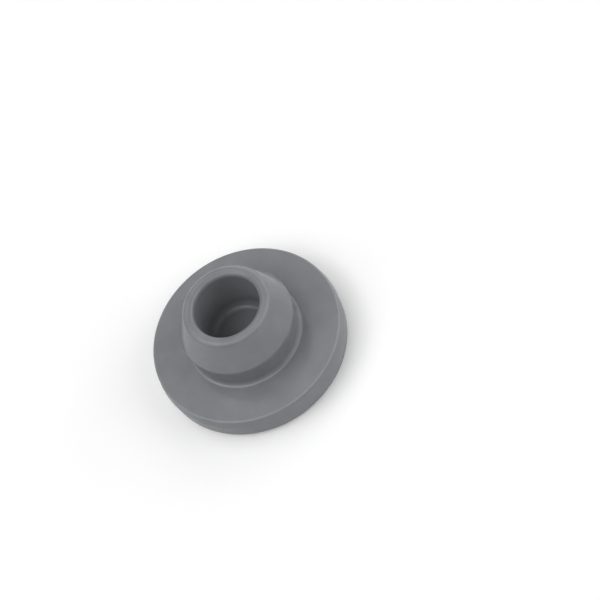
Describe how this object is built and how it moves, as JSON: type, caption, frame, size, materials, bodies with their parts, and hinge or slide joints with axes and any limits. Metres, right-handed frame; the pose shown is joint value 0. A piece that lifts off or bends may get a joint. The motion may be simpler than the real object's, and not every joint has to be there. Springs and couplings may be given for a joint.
{
  "type": "rubber stopper",
  "caption": "Moulded rubber stopper for a small glass vial: a round flange, a drawn-in neck, a narrow sealing band, a tapered lead-in and a blind needle well that opens at the plug's tip.",
  "frame": {"origin": "on the stopper's axis, level with the faces of the two raised arcs that it stands on, which is the bottom centre of its box", "axes": "+Z along the axis from the outer face towards the plug's tip, +X through the middle of one raised arc, +Y through the gap between the two arcs"},
  "size_m": [0.0125, 0.0124, 0.0061],
  "materials": {
    "grey_rubber": "plain grey rubber, compression moulded, smooth satin skin"
  },
  "bodies": {
    "root": {"stopper": "grey_rubber"}
  },
  "joints": []
}
